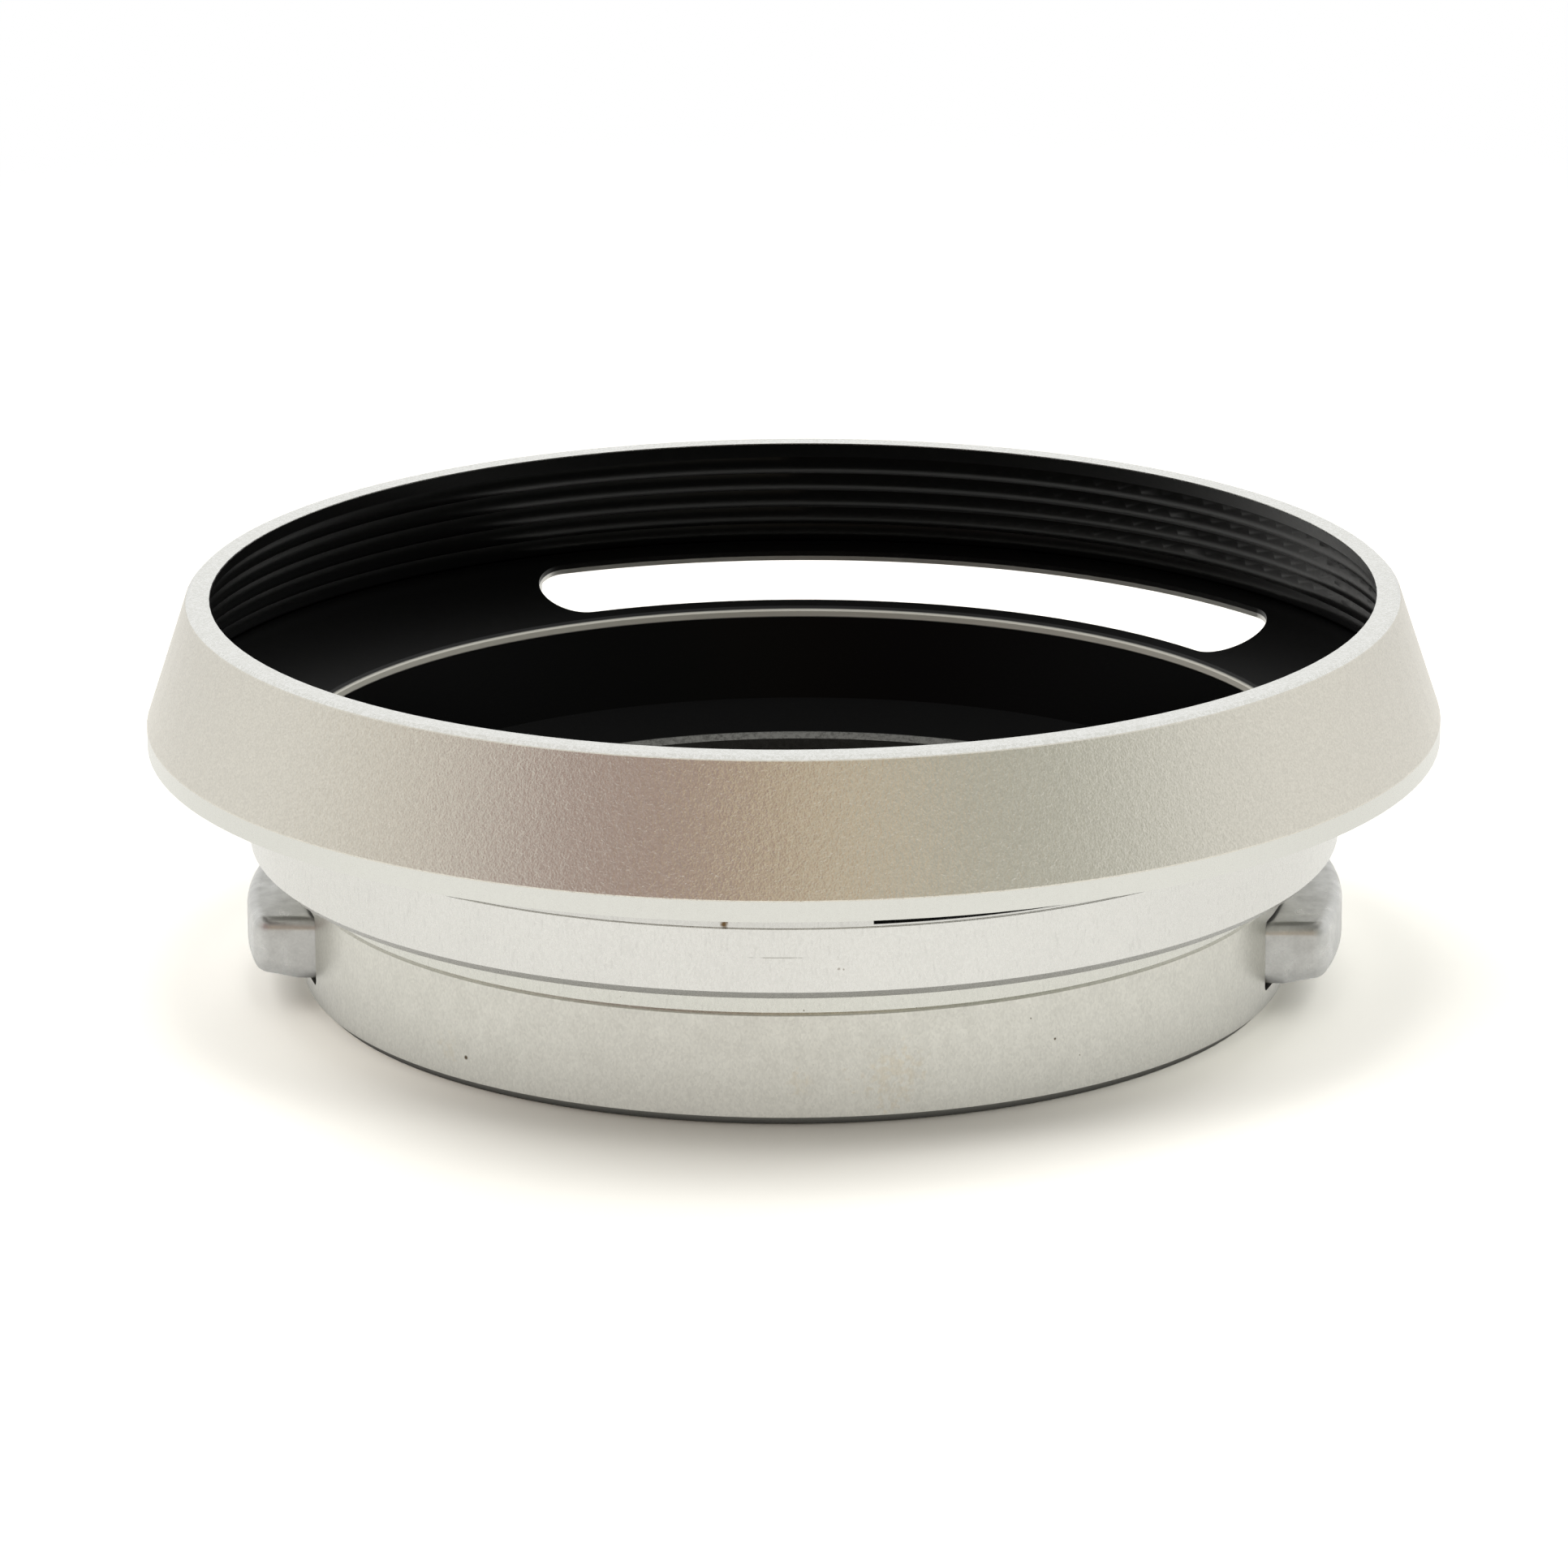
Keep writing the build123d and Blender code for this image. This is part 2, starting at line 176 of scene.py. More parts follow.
def stretchedPlace(group, given):
    # the place counted in grains of the given size, drawn out along the optical axis
    frequency = calc(group, "DIVIDE", 1.0 / mm, given["size"])
    alongAxis = calc(group, "DIVIDE", frequency, given["stretch"])
    scale = put(group, "CombineXYZ", {"X": frequency, "Y": frequency, "Z": alongAxis}).outputs[0]
    return put(group, "VectorMath", {0: given["place"], 1: scale}, operation="MULTIPLY").outputs[0]


def makeGrain(look):
    # two noises added up round 0.5; the contrast says how far they leave it
    group, given, end = newGroup("metalGrain", size=0.1, stretch=1.0, contrast=1.0)
    place = stretchedPlace(group, given)
    fine, coarse = (
        put(group, "TexNoise", {"Vector": place, "Scale": scale, "Detail": look["grainDetail"]}).outputs[0]
        for scale in look["grainScales"])
    centred = calc(group, "SUBTRACT", calc(group, "ADD", fine, coarse), 1.0)
    stronger = calc(group, "MULTIPLY", centred, given["contrast"])
    group.links.new(calc(group, "ADD", stronger, 0.5), end["mask"])
    return group


def makeSand():
    # each tiny cell of a Voronoi pattern gets its own grey, like blasted metal seen close
    group, given, end = newGroup("sandGrain", size=0.08, stretch=1.0)
    cells = put(group, "TexVoronoi", {"Vector": stretchedPlace(group, given), "Scale": 1.0})
    grey = put(group, "SeparateColor", {"Color": cells.outputs["Color"]})
    group.links.new(grey.outputs[0], end["mask"])
    return group


def makeSpecks(look):
    # round dots in some of the cells of a Voronoi pattern; share says how many cells hold one
    group, given, end = newGroup("tinySpecks", spacing=1.0, share=0.1, radius=0.05)
    frequency = calc(group, "DIVIDE", 1.0 / mm, given["spacing"])
    cells = put(group, "TexVoronoi", {"Vector": given["place"], "Scale": frequency})
    random = put(group, "SeparateColor", {"Color": cells.outputs["Color"]})
    chosen = calc(group, "LESS_THAN", random.outputs[0], given["share"])
    reach = calc(group, "DIVIDE", given["radius"], given["spacing"])
    size = spread(group, random.outputs[1], 0.0, 1.0, *look["speckSizes"], False)
    ownReach = calc(group, "MULTIPLY", reach, size)
    dot = spread(group, calc(group, "DIVIDE", cells.outputs["Distance"], ownReach), *look["speckEdge"])
    group.links.new(calc(group, "MULTIPLY", dot, chosen), end["mask"])
    return group


def makeZone():
    # 1 between two heights and between two radii round the optical axis, with soft limits; all in mm.
    # heights are taken above a cone that rises by rise for each mm of radius beyond atR
    group, given, end = newGroup("turnedZone", lowZ=-100.0, highZ=100.0, lowR=-100.0, highR=100.0,
                                 soft=0.02, rise=0.0, atR=0.0)
    axes = put(group, "SeparateXYZ", {"Vector": given["place"]}).outputs
    z = calc(group, "MULTIPLY", axes["Z"], 1.0 / mm)
    squares = [calc(group, "POWER", axes[name], 2.0) for name in "XY"]
    r = calc(group, "MULTIPLY", calc(group, "SQRT", calc(group, "ADD", *squares)), 1.0 / mm)
    cone = calc(group, "MULTIPLY", calc(group, "SUBTRACT", r, given["atR"]), given["rise"])
    lift = calc(group, "SUBTRACT", z, cone)
    limits = ((lift, "lowZ", 1.0), (lift, "highZ", -1.0), (r, "lowR", 1.0), (r, "highR", -1.0))
    mask = None
    for value, limit, side in limits:
        steps = calc(group, "DIVIDE", calc(group, "SUBTRACT", value, given[limit]), given["soft"])
        inside = spread(group, steps, -side, side)
        mask = inside if mask is None else calc(group, "MULTIPLY", mask, inside)
    group.links.new(mask, end["mask"])
    return group


def makeMark(look):
    # a soft spot round one point, broken up by noise; centre in metres, radius in mm
    group, given, end = newGroup("softMark", centre=(0.0, 0.0, 0.0), radius=0.5, ragged=0.5)
    gap = put(group, "VectorMath", {0: given["place"], 1: given["centre"]}, operation="DISTANCE")
    share = calc(group, "DIVIDE", calc(group, "DIVIDE", gap.outputs["Value"], mm), given["radius"])
    noise = put(group, "TexNoise", {"Vector": given["place"], "Scale": look["markNoise"] / mm,
                                    "Detail": look["markDetail"]})
    wobble = calc(group, "MULTIPLY", calc(group, "SUBTRACT", noise.outputs[0], 0.5), given["ragged"])
    uneven = calc(group, "ADD", share, calc(group, "MULTIPLY", wobble, look["markReach"]))
    group.links.new(spread(group, uneven, *look["markEdge"]), end["mask"])
    return group


grain = makeGrain(patternLook)
sand = makeSand()
specks = makeSpecks(patternLook)
zone = makeZone()
mark = makeMark(patternLook)
print("patterns ready")


def newMaterial(name, look):
    # a material whose Principled shader takes its constants from look
    material = bpy.data.materials.new(name)
    material.use_nodes = True
    tree = material.node_tree
    shader = tree.nodes["Principled BSDF"]
    shader.inputs["Metallic"].default_value = look.get("metallic", 1.0)
    shader.inputs["Roughness"].default_value = look["roughness"]
    shader.inputs["Base Color"].default_value = rgba(look["colour"])
    shader.inputs["Specular IOR Level"].default_value = look.get("specular", 0.5)
    place = put(tree, "TexCoord").outputs["Object"]
    return material, tree, shader, place


def bumpOn(tree, shader, height, depth):
    # depth in mm is what one unit of height stands for
    bump = put(tree, "Bump", {"Height": height, "Distance": depth * mm, "Strength": 1.0})
    tree.links.new(bump.outputs["Normal"], shader.inputs["Normal"])


def spotOn(tree, place, spot):
    centre = polar(*spot["at"])
    return useGroup(tree, mark, place, centre=centre, radius=spot["radius"], ragged=spot["ragged"])


def spotsOn(tree, place, spots):
    # the strongest of several single marks
    total = 0.0
    for spot in spots:
        one = calc(tree, "MULTIPLY", spotOn(tree, place, spot), spot.get("strength", 1.0))
        total = calc(tree, "MAXIMUM", one, total)
    return total


skirtLook = {
    "colour": (0.72, 0.69, 0.615),
    "roughness": 0.30,
    "roughnessSwing": 0.03,
    "beads": {"size": 0.085},
    "beadSwing": 0.065,
    "blasting": {"size": 0.10, "contrast": 1.2},
    "blastDepth": 0.017,
    "bandTop": 13.04,
    "turnedColour": (0.70, 0.70, 0.66),
    "turnedRoughness": 0.26,
    "streaks": {"size": 0.05, "stretch": 5.0, "contrast": 0.6},
    "streakSwing": 0.022,
    "streakHeight": 0.08,      # as a share of blastDepth
    "rimBottom": 19.0,
    "edgeColour": (0.89, 0.89, 0.87),
    "edgeSparkle": (0.2, 0.9, 0.35, 1.0),
    "paint": {"highZ": 13.04, "highR": 29.94},
    "paintColour": (0.0018, 0.0018, 0.0018),
    "paintRoughness": 0.25,
}


def makeSkirtFinish(look):
    # bead-blasted cone, turned band and bright rim, black paint inside; the foot's underside is bare
    material, tree, shader, place = newMaterial("satinSilver", look)
    beads = useGroup(tree, sand, place, **look["beads"])
    blasting = useGroup(tree, grain, place, **look["blasting"])
    streaks = useGroup(tree, grain, place, **look["streaks"])
    cone = useGroup(tree, zone, place, lowZ=look["bandTop"], highZ=look["rimBottom"])
    rim = useGroup(tree, zone, place, lowZ=look["rimBottom"])
    paint = useGroup(tree, zone, place, **look["paint"])

    shade = mixValue(tree, cone, vary(tree, streaks, 1.0, look["streakSwing"]),
                     vary(tree, beads, 1.0, look["beadSwing"]))
    metal = scaleColour(tree, blendColour(tree, cone, look["turnedColour"], look["colour"]), shade)
    sparkle = calc(tree, "MULTIPLY", rim, spread(tree, beads, *look["edgeSparkle"]))
    metal = blendColour(tree, sparkle, metal, look["edgeColour"])
    rough = mixValue(tree, cone, look["turnedRoughness"], look["roughness"])
    rough = calc(tree, "ADD", rough, vary(tree, blasting, 0.0, -look["roughnessSwing"]))
    height = mixValue(tree, cone, calc(tree, "MULTIPLY", streaks, look["streakHeight"]), blasting)

    tree.links.new(blendColour(tree, paint, metal, look["paintColour"]), shader.inputs["Base Color"])
    tree.links.new(mixValue(tree, paint, rough, look["paintRoughness"]), shader.inputs["Roughness"])
    tree.links.new(calc(tree, "SUBTRACT", 1.0, paint), shader.inputs["Metallic"])
    bumpOn(tree, shader, height, look["blastDepth"])
    return material


barrelLook = {
    "colour": (0.725, 0.72, 0.69),
    "roughness": 0.28,
    "roughnessSwing": 0.03,
    "sand": {"size": 0.07, "stretch": 2.0},
    "sandSwing": 0.015,
    "sandHeight": 0.2,         # as a share of depth
    "dashes": {"size": 0.091, "stretch": 4.0},
    "dashShare": 0.06,
    "dashDarkness": 0.05,
    "patches": {"size": 1.6, "stretch": 2.0, "contrast": 0.8},
    "patchSwing": 0.02,
    "riser": {"lowZ": 10.25, "highZ": 10.95},
    # the riser's colour is darkened here: painted shade under the skirt's band
    "riserPaintedShade": 0.90,
    "neck": {"highZ": 6.86, "highR": 24.6},
    "neckColour": (0.692, 0.690, 0.638),
    "neckPits": {"spacing": 0.42, "share": 0.14, "radius": 0.06},
    "rarePits": {"spacing": 1.3, "share": 0.02, "radius": 0.05},
    "pitColour": (0.16, 0.13, 0.08),
    "pitStrength": 0.8,
    "slots": {"lowZ": 10.31, "highR": 26.07, "soft": 0.03},    # from just under the slot floors
    "slotEdge": (0.45, 0.65),
    "slotWobble": {"size": 0.12, "contrast": 1.5},
    "slotWobbleSwing": 0.3,
    "paintColour": (0.0018, 0.0018, 0.0018),
    "paintRoughness": 0.25,
    "spotColour": (0.13, 0.08, 0.035),
    "spots": (
        {"at": (26.15, 265.1, 10.45), "radius": 0.26, "ragged": 0.5},
        {"at": (26.2, 276.4, 8.34), "radius": 0.10, "ragged": 1.0, "strength": 0.5},
        {"at": (26.2, 276.9, 8.30), "radius": 0.06, "ragged": 1.0, "strength": 0.5},
        {"at": (24.0, 224.6, 5.45), "radius": 0.10, "ragged": 0.8, "strength": 0.8},
    ),
    "scratchColour": (0.34, 0.33, 0.30),
    "scratchLine": {"lowZ": 8.8825, "highZ": 8.9175, "soft": 0.02},
    "scratchReach": {"at": (26.2, 270.1, 8.9), "radius": 1.5, "ragged": 0.9},
    "depth": 0.002,
}


def makeBarrelFinish(look):
    # upright grain on the barrel, painted shade on the riser under the band, a pitted neck under it, black
    # paint in the slots
    material, tree, shader, place = newMaterial("brushedSilver", look)
    fine = useGroup(tree, sand, place, **look["sand"])
    dashes = calc(tree, "LESS_THAN", useGroup(tree, sand, place, **look["dashes"]), look["dashShare"])
    patches = useGroup(tree, grain, place, **look["patches"])
    riser = useGroup(tree, zone, place, **look["riser"])
    shade = calc(tree, "MULTIPLY", vary(tree, fine, 1.0, look["sandSwing"]),
                 vary(tree, patches, 1.0, look["patchSwing"]))
    shade = calc(tree, "SUBTRACT", shade, calc(tree, "MULTIPLY", dashes, look["dashDarkness"]))
    # the riser under the skirt's band is painted darker: painted shade
    shade = calc(tree, "MULTIPLY", shade, mixValue(tree, riser, 1.0, look["riserPaintedShade"]))

    neck = useGroup(tree, zone, place, **look["neck"])
    colour = scaleColour(tree, blendColour(tree, neck, look["colour"], look["neckColour"]), shade)
    neckPits = calc(tree, "MULTIPLY", useGroup(tree, specks, place, **look["neckPits"]), neck)
    rarePits = useGroup(tree, specks, place, **look["rarePits"])
    pits = calc(tree, "MULTIPLY", calc(tree, "MAXIMUM", neckPits, rarePits), look["pitStrength"])
    colour = blendColour(tree, pits, colour, look["pitColour"])
    scratch = calc(tree, "MULTIPLY", useGroup(tree, zone, place, **look["scratchLine"]),
                   spotOn(tree, place, look["scratchReach"]))
    colour = blendColour(tree, scratch, colour, look["scratchColour"])
    colour = blendColour(tree, spotsOn(tree, place, look["spots"]), colour, look["spotColour"])

    wobble = vary(tree, useGroup(tree, grain, place, **look["slotWobble"]), 0.0, look["slotWobbleSwing"])
    paint = calc(tree, "ADD", useGroup(tree, zone, place, **look["slots"]), wobble)
    paint = spread(tree, paint, *look["slotEdge"])
    rough = vary(tree, fine, look["roughness"], -look["roughnessSwing"])
    height = calc(tree, "SUBTRACT", calc(tree, "MULTIPLY", fine, look["sandHeight"]), pits)

    tree.links.new(blendColour(tree, paint, colour, look["paintColour"]), shader.inputs["Base Color"])
    tree.links.new(mixValue(tree, paint, rough, look["paintRoughness"]), shader.inputs["Roughness"])
    tree.links.new(calc(tree, "SUBTRACT", 1.0, paint), shader.inputs["Metallic"])
    bumpOn(tree, shader, height, look["depth"])
    return material


collarLook = {
    "colour": (0.68, 0.67, 0.615),
    "roughness": 0.34,
    "roughnessSwing": 0.04,
    "mottle": {"size": 0.08, "stretch": 1.6},
    "mottleSwing": 0.06,
    "mottleHeight": 0.3,       # as a share of depth
    "clouds": {"size": 0.25, "stretch": 1.5, "contrast": 1.2},
    "cloudSwing": 0.03,
    "stainColour": (0.62, 0.55, 0.42),
    "stainBreakup": (0.2, 0.8, 0.3, 1.0),
    "stains": (
        {"at": (23.75, 283.0, 2.3), "radius": 1.5, "ragged": 1.4, "strength": 0.45},
        {"at": (23.75, 272.5, 2.0), "radius": 0.6, "ragged": 1.6, "strength": 0.35},
        {"at": (23.75, 229.5, 1.9), "radius": 0.7, "ragged": 1.4, "strength": 0.25},
    ),
    "speckColour": (0.12, 0.09, 0.06),
    "specks": (
        {"at": (23.75, 232.2, 1.57), "radius": 0.13, "ragged": 0.3},
        {"at": (23.75, 299.1, 4.29), "radius": 0.06, "ragged": 0.6},
        {"at": (23.75, 302.2, 3.1), "radius": 0.07, "ragged": 0.6},
        {"at": (23.75, 305.5, 2.07), "radius": 0.05, "ragged": 0.6},
        {"at": (23.7, 222.9, 0.31), "radius": 0.12, "ragged": 0.6},
    ),
    "dust": {"spacing": 1.6, "share": 0.03, "radius": 0.05},
    "dustStrength": 0.6,
    "depth": 0.003,
}


def makeCollarFinish(look):
    # fine mottled satin with faint stains and a few specks
    material, tree, shader, place = newMaterial("satinCollar", look)
    mottle = useGroup(tree, sand, place, **look["mottle"])
    clouds = useGroup(tree, grain, place, **look["clouds"])
    stain = calc(tree, "MULTIPLY", spotsOn(tree, place, look["stains"]),
                 spread(tree, clouds, *look["stainBreakup"]))
    metal = blendColour(tree, stain, look["colour"], look["stainColour"])
    shade = calc(tree, "ADD", vary(tree, mottle, 1.0, look["mottleSwing"]),
                 vary(tree, clouds, 0.0, look["cloudSwing"]))
    dust = calc(tree, "MULTIPLY", useGroup(tree, specks, place, **look["dust"]), look["dustStrength"])
    marks = calc(tree, "MAXIMUM", dust, spotsOn(tree, place, look["specks"]))
    colour = blendColour(tree, marks, scaleColour(tree, metal, shade), look["speckColour"])
    rough = vary(tree, clouds, look["roughness"], -look["roughnessSwing"])
    height = calc(tree, "ADD", clouds, calc(tree, "MULTIPLY", mottle, look["mottleHeight"]))
    tree.links.new(colour, shader.inputs["Base Color"])
    tree.links.new(rough, shader.inputs["Roughness"])
    bumpOn(tree, shader, height, look["depth"])
    return material


paintLook = {
    "colour": (0.0015, 0.0015, 0.0015),
    "roughness": 0.34,
    "roughnessSwing": 0.04,
    "metallic": 0.0,
    "specular": 0.26,
    "coat": {"size": 0.08, "contrast": 1.0},
    "depth": 0.002,
    # a pale band just under the throat edge: scuffed paint and a painted highlight of the bright ring there
    "throatScuffHighlight": {"lowZ": 10.90, "highZ": 11.28, "lowR": 24.2, "highR": 24.5, "soft": 0.04},
    "scuffHighlightColour": (0.80, 0.78, 0.70),
    "throatEdge": {"lowZ": 11.24, "highZ": 11.5, "lowR": 24.2, "highR": 24.5, "soft": 0.03},
    "wornColour": (0.30, 0.30, 0.275),
    "lipEdge": {"lowZ": 4.95, "highZ": 5.86, "lowR": 20.3, "highR": 20.7, "soft": 0.03},
    "lipColour": (0.17, 0.17, 0.16),
    "wearBreakup": (0.1, 0.7, 0.6, 1.0),
    "dust": {"spacing": 1.8, "share": 0.06, "radius": 0.045},
    "dustStrength": 0.35,
    "dustColour": (0.25, 0.24, 0.21),
    "back": {"highZ": 11.05, "lowR": 24.8, "rise": 0.375, "atR": 24.4},
    "backShare": 1.0,
    "backColour": (0.62, 0.61, 0.58),
}

# the throat carries the same paint, a duller coat of it, and has no bare back
throatLook = {**paintLook, "roughness": 0.38, "specular": 0.05, "backShare": 0.0}


def makePaintFinish(name, look):
    # matt black paint; the edge of the throat and the stop lip are rubbed bright, a pale band under the
    # throat edge is scuffed paint with a painted highlight, the back is bare
    material, tree, shader, place = newMaterial(name, look)
    coat = useGroup(tree, grain, place, **look["coat"])
    throatScuffHighlight = useGroup(tree, zone, place, **look["throatScuffHighlight"])
    throatEdge = useGroup(tree, zone, place, **look["throatEdge"])
    lipEdge = useGroup(tree, zone, place, **look["lipEdge"])
    wear = calc(tree, "MULTIPLY", calc(tree, "MAXIMUM", throatEdge, lipEdge),
                spread(tree, coat, *look["wearBreakup"]))
    worn = blendColour(tree, lipEdge, look["wornColour"], look["lipColour"])
    dust = calc(tree, "MULTIPLY", useGroup(tree, specks, place, **look["dust"]), look["dustStrength"])
    back = calc(tree, "MULTIPLY", useGroup(tree, zone, place, **look["back"]), look["backShare"])

    # pale band under the throat edge: partly scuffed paint, partly painted highlight
    colour = blendColour(tree, throatScuffHighlight, look["colour"], look["scuffHighlightColour"])
    colour = blendColour(tree, wear, colour, worn)
    colour = blendColour(tree, dust, colour, look["dustColour"])
    colour = blendColour(tree, back, colour, look["backColour"])
    tree.links.new(colour, shader.inputs["Base Color"])
    tree.links.new(calc(tree, "MAXIMUM", wear, back), shader.inputs["Metallic"])
    tree.links.new(vary(tree, coat, look["roughness"], -look["roughnessSwing"]), shader.inputs["Roughness"])
    bumpOn(tree, shader, coat, look["depth"])
    return material


buttonLook = {
    "colour": (0.66, 0.66, 0.64),
    "roughness": 0.31,
    "roughnessRange": (0.1, 0.9, 0.39, 0.26),
    "metallic": 0.75,
    "clouds": {"size": 0.7, "contrast": 1.3},
    "cloudShade": (0.90, 1.08),
    "sand": {"size": 0.10},
    "sandSwing": 0.04,
    "depth": 0.003,
}


def makeButtonFinish(look):
    # cast and tumbled metal: soft shine, cloudy, with fine rubbing marks
    material, tree, shader, place = newMaterial("buttonMetal", look)
    clouds = useGroup(tree, grain, place, **look["clouds"])
    fine = useGroup(tree, sand, place, **look["sand"])
    shade = calc(tree, "MULTIPLY", spread(tree, clouds, 0.0, 1.0, *look["cloudShade"], False),
                 vary(tree, fine, 1.0, look["sandSwing"]))
    tree.links.new(scaleColour(tree, look["colour"], shade), shader.inputs["Base Color"])
    tree.links.new(spread(tree, clouds, *look["roughnessRange"], False), shader.inputs["Roughness"])
    bumpOn(tree, shader, clouds, look["depth"])
    return material


plainLooks = {
    "black_anodised": {"colour": (0.03, 0.03, 0.031), "roughness": 0.42, "grain": 0.1,
                       "specular": 0.4, "metallic": 0.6},
    "blackened_steel": {"colour": (0.06, 0.06, 0.062), "roughness": 0.35, "grain": 0.06},
    "spring_steel": {"colour": (0.58, 0.58, 0.59), "roughness": 0.25, "grain": 0.06},
    "shim_brass": {"colour": (0.66, 0.50, 0.23), "roughness": 0.3, "grain": 0.08},
}
plainGrain = {"contrast": 1.2, "shadeSwing": 0.15, "roughnessSwing": 0.06, "depth": 0.003}


def makePlainFinish(name, look, surface):
    # a hidden piece's metal: one fine grain in colour, gloss and surface
    material, tree, shader, place = newMaterial(name, look)
    fine = useGroup(tree, grain, place, size=look["grain"], contrast=surface["contrast"])
    shade = vary(tree, fine, 1.0, surface["shadeSwing"])
    rough = vary(tree, fine, look["roughness"], -surface["roughnessSwing"])
    tree.links.new(scaleColour(tree, look["colour"], shade), shader.inputs["Base Color"])
    tree.links.new(rough, shader.inputs["Roughness"])
    bumpOn(tree, shader, fine, surface["depth"])
    return material


finishes = {
    "satin_silver": makeSkirtFinish(skirtLook),
    "brushed_silver": makeBarrelFinish(barrelLook),
    "satin_collar": makeCollarFinish(collarLook),
    "matte_black": makePaintFinish("matteBlack", paintLook),
    "button_metal": makeButtonFinish(buttonLook),
}
for slotName, plainLook in plainLooks.items():
    finishes[slotName] = makePlainFinish(slotName, plainLook, plainGrain)

for part in frame["record"]["subparts"]:
    nodes[part["node"]].material_slots[0].material = finishes[part["material_slot"]]
nodes["throat_ring"].material_slots[0].material = makePaintFinish("dullBlack", throatLook)
print("finishes on", len(finishes), "slots")


springLook = {
    "travel": 0.8,             # mm that a button goes in
    "fixedEnd": 2.6,           # mm from the middle to the end that stays
    "springs": (               # the node, the piece that stands for it, its joint, the fixed end's side
        ("right_spring_front", "rightSpringFront", "right_press", -1),
        ("right_spring_back", "rightSpringBack", "right_press", -1),
        ("left_spring_front", "leftSpringFront", "left_press", 1),
        ("left_spring_back", "leftSpringBack", "left_press", 1),
    ),
}


def makeSprings(look):
    # the springs as shown: each is a copy of its node's mesh, hung on the hood with the node hidden
    for node, name, joint, side in look["springs"]:
        mesh = nodes[node].data.copy()
        spring = bpy.data.objects.new(name, mesh)
        spring.matrix_world = nodes[node].matrix_world.copy()
        scene.collection.objects.link(spring)
        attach(spring, "hood")
        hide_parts(node)
        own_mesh(spring)


makeSprings(springLook)
print("springs ready")


# on the floor, Reach and Edge are in metres from the optical axis, and Limits in metres along Y;
# in the sky, frontLimits and roomFront are a direction's Y, and roomTop is its Z
studioLook = {
    "sky": (1.0, 1.0, 0.985),
    "skyStrength": 0.95,                  # for matt surfaces
    "frontStrength": 0.04,                # share of it that comes from straight in front
    "frontLimits": (-0.92, -0.38),
    "shineStrength": 0.93,                # for reflections
    "roomFront": (0.10, -0.10),           # the coloured room fills the front half of the sky
    "roomTop": (0.90, 0.72),              # up to this height
    "floorSize": 1.5,
    "floorBounce": (0.55, 0.54, 0.52),    # the floor as other surfaces are lit by it
    "floorSeen": (1.71, 1.685, 1.605),    # as the camera sees it, well lit up to white
    "contactReach": (0.0238, 0.029),      # painted shadow in the floor's colour in front of the object
    "contactPaintedShadow": 0.80,
    "besideReach": (0.025, 0.0305),       # and painted light and shade at its sides
    "besidePaintedLightShade": (1.29, 0.93),
    "besideLimits": (-0.0245, -0.013),
    # further out the floor's colour is painted a little darker: painted shadow
    "outerReach": (0.033, 0.042),
    "outerPaintedShade": 0.86,
    "floorShine": (0.75, 0.745, 0.725),   # as reflections see it, with a paler shadow
    "shineGlow": 0.43,
    "sideReach": (0.034, 0.044),          # the glow is a little dimmer at both sides than in front
    "sideLimits": (-0.05, 0.0),
    "sideGlow": 0.82,
    "boreEdge": (0.023, 0.025),           # the floor inside the bore is painted dark in reflections: painted shade
    "borePaintedShade": 0.08,
    "farReach": (0.06, 0.20),             # further out the floor is plain white
    "farShine": 0.82,
    "lampPower": 1.0,
    "lampWidth": 1.5,
    "lampDepth": 0.45,
    "lampPlace": (-0.05, 0.22, 0.55),
}

# the room in front of the object, as soft strips of colour by compass direction round it:
# position 0 is straight left of the object's front, 1 straight right
roomStrips = [
    (0.00, (0.88, 0.86, 0.82)),
    (0.10, (0.85, 0.82, 0.77)),
    (0.20, (0.67, 0.60, 0.58)),
    (0.29, (0.48, 0.365, 0.35)),
    (0.37, (0.425, 0.31, 0.29)),
    (0.44, (0.54, 0.41, 0.335)),
    (0.51, (0.71, 0.59, 0.41)),
    (0.57, (0.76, 0.69, 0.58)),
    (0.70, (0.53, 0.54, 0.49)),
    (0.80, (0.65, 0.66, 0.61)),
    (0.92, (0.89, 0.90, 0.88)),
    (1.00, (0.97, 0.97, 0.96)),
]


def rayKinds(tree):
    # 1 for camera rays, and 1 for reflections that haven't met a matt surface first
    light = put(tree, "LightPath").outputs
    direct = calc(tree, "LESS_THAN", light["Diffuse Depth"], 0.5)
    return light["Is Camera Ray"], calc(tree, "MULTIPLY", light["Is Glossy Ray"], direct)


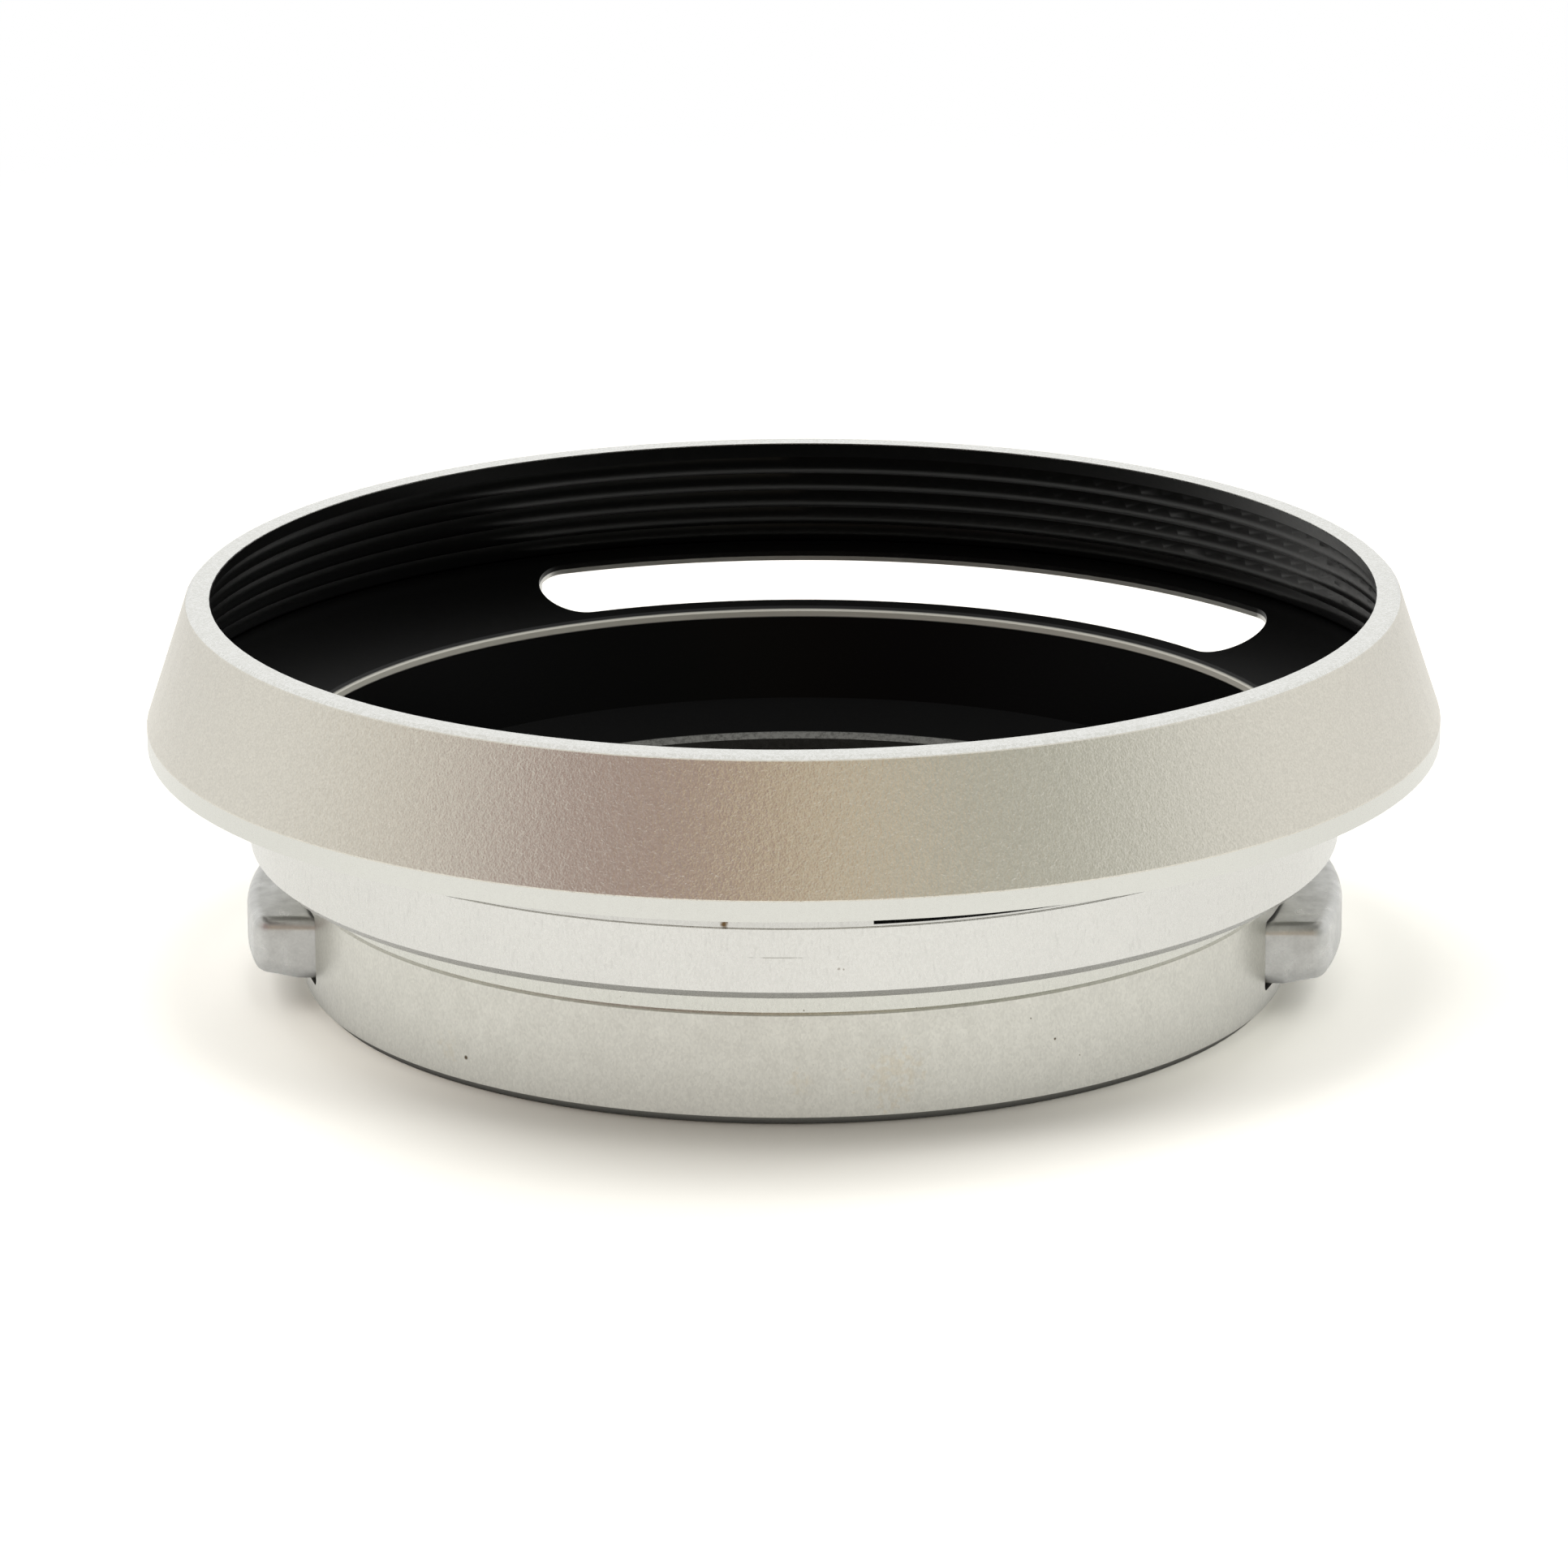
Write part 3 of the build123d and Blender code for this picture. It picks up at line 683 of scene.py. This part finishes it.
def makeWorld(look, strips, turn):
    world = bpy.data.worlds.new("studioWorld")
    scene.world = world
    world.use_nodes = True
    tree = world.node_tree
    back = tree.nodes["Background"]
    direction = put(tree, "TexCoord").outputs["Generated"]
    axes = put(tree, "SeparateXYZ", {"Vector": direction}).outputs
    compass = calc(tree, "ARCTAN2", axes["X"], calc(tree, "MULTIPLY", axes["Y"], -1.0))
    compass = calc(tree, "SUBTRACT", compass, math.radians(turn))
    along = spread(tree, compass, -math.pi / 2, math.pi / 2, smooth=False)
    ramp = put(tree, "ValToRGB", {"Fac": along})
    ramp.color_ramp.interpolation = "EASE"
    stops = ramp.color_ramp.elements
    while len(stops) < len(strips):
        stops.new(0.5)
    for stop, (position, colour) in zip(stops, strips):
        stop.position = position
        stop.color = rgba(colour)

    camera, shine = rayKinds(tree)
    room = calc(tree, "MULTIPLY", spread(tree, axes["Y"], *look["roomFront"]),
                spread(tree, axes["Z"], *look["roomTop"]))
    room = calc(tree, "MULTIPLY", room, calc(tree, "SUBTRACT", 1.0, camera))
    dim = spread(tree, axes["Y"], *look["frontLimits"], look["frontStrength"], 1.0)
    strength = mixValue(tree, shine, calc(tree, "MULTIPLY", dim, look["skyStrength"]), look["shineStrength"])
    tree.links.new(blendColour(tree, room, look["sky"], ramp.outputs["Color"]), back.inputs["Color"])
    tree.links.new(mixValue(tree, camera, strength, 1.0), back.inputs["Strength"])


def makeFloor(look):
    size = look["floorSize"]
    mesh = bpy.data.meshes.new("studioFloor")
    corners = [(-size, -size, 0.0), (size, -size, 0.0), (size, size, 0.0), (-size, size, 0.0)]
    mesh.from_pydata(corners, [], [(0, 1, 2, 3)])
    floor = bpy.data.objects.new("studioFloor", mesh)
    scene.collection.objects.link(floor)
    material = bpy.data.materials.new("paleFloor")
    material.use_nodes = True
    mesh.materials.append(material)
    tree = material.node_tree
    tree.nodes.clear()
    camera, shine = rayKinds(tree)
    place = put(tree, "TexCoord").outputs["Object"]
    radius = put(tree, "VectorMath", {0: place}, operation="LENGTH").outputs["Value"]
    alongY = put(tree, "SeparateXYZ", {"Vector": place}).outputs["Y"]

    # the camera sees painted shadow in the floor's colour: deeper in front of the object than at its sides,
    # where painted light lifts it near the object
    inFront = spread(tree, radius, *look["contactReach"], look["contactPaintedShadow"], 1.0)
    beside = spread(tree, radius, *look["besideReach"], *look["besidePaintedLightShade"])
    paintedShadowGain = mixValue(tree, spread(tree, alongY, *look["besideLimits"]), inFront, beside)
    paintedShadowGain = calc(tree, "MULTIPLY", paintedShadowGain, spread(tree, radius, *look["outerReach"], 1.0, look["outerPaintedShade"]))
    seen = blendColour(tree, camera, look["floorBounce"], scaleColour(tree, look["floorSeen"], paintedShadowGain))

    # reflections see a paler floor, with some glow of its own outside the bore and painted shade inside it
    outside = spread(tree, radius, *look["boreEdge"])
    mirrored = scaleColour(tree, look["floorShine"], mixValue(tree, outside, look["borePaintedShade"], 1.0))
    side = spread(tree, alongY, *look["sideLimits"], 1.0, look["sideGlow"])
    side = mixValue(tree, spread(tree, radius, *look["sideReach"]), 1.0, side)
    glow = calc(tree, "MULTIPLY", calc(tree, "MULTIPLY", shine, look["shineGlow"]),
                calc(tree, "MULTIPLY", outside, side))
    matt = put(tree, "BsdfDiffuse", {"Color": blendColour(tree, shine, seen, mirrored)})
    lift = put(tree, "Emission", {"Color": rgba(look["sky"]), "Strength": glow})
    near = put(tree, "AddShader", {0: matt.outputs[0], 1: lift.outputs[0]})

    white = put(tree, "Emission", {"Strength": mixValue(tree, shine, 1.0, look["farShine"])})
    far = calc(tree, "MULTIPLY", spread(tree, radius, *look["farReach"]),
               calc(tree, "MAXIMUM", camera, shine))
    mix = put(tree, "MixShader", {"Fac": far, 1: near.outputs[0], 2: white.outputs[0]})
    put(tree, "OutputMaterial", {"Surface": mix.outputs[0]})


def makeLamp(look, turn):
    data = bpy.data.lights.new("topSoftbox", "AREA")
    data.shape = "ELLIPSE"
    data.size = look["lampWidth"]
    data.size_y = look["lampDepth"]
    data.energy = look["lampPower"]
    lamp = bpy.data.objects.new("topSoftbox", data)
    scene.collection.objects.link(lamp)
    lamp.visible_glossy = False
    place = Quaternion((0.0, 0.0, 1.0), math.radians(turn)) @ Vector(look["lampPlace"])
    lamp.location = place
    lamp.rotation_mode = "QUATERNION"
    lamp.rotation_quaternion = (-place).to_track_quat("-Z", "Y")


makeWorld(studioLook, roomStrips, cameraLook["turn"])
makeFloor(studioLook)
makeLamp(studioLook, cameraLook["turn"])
print("studio ready")
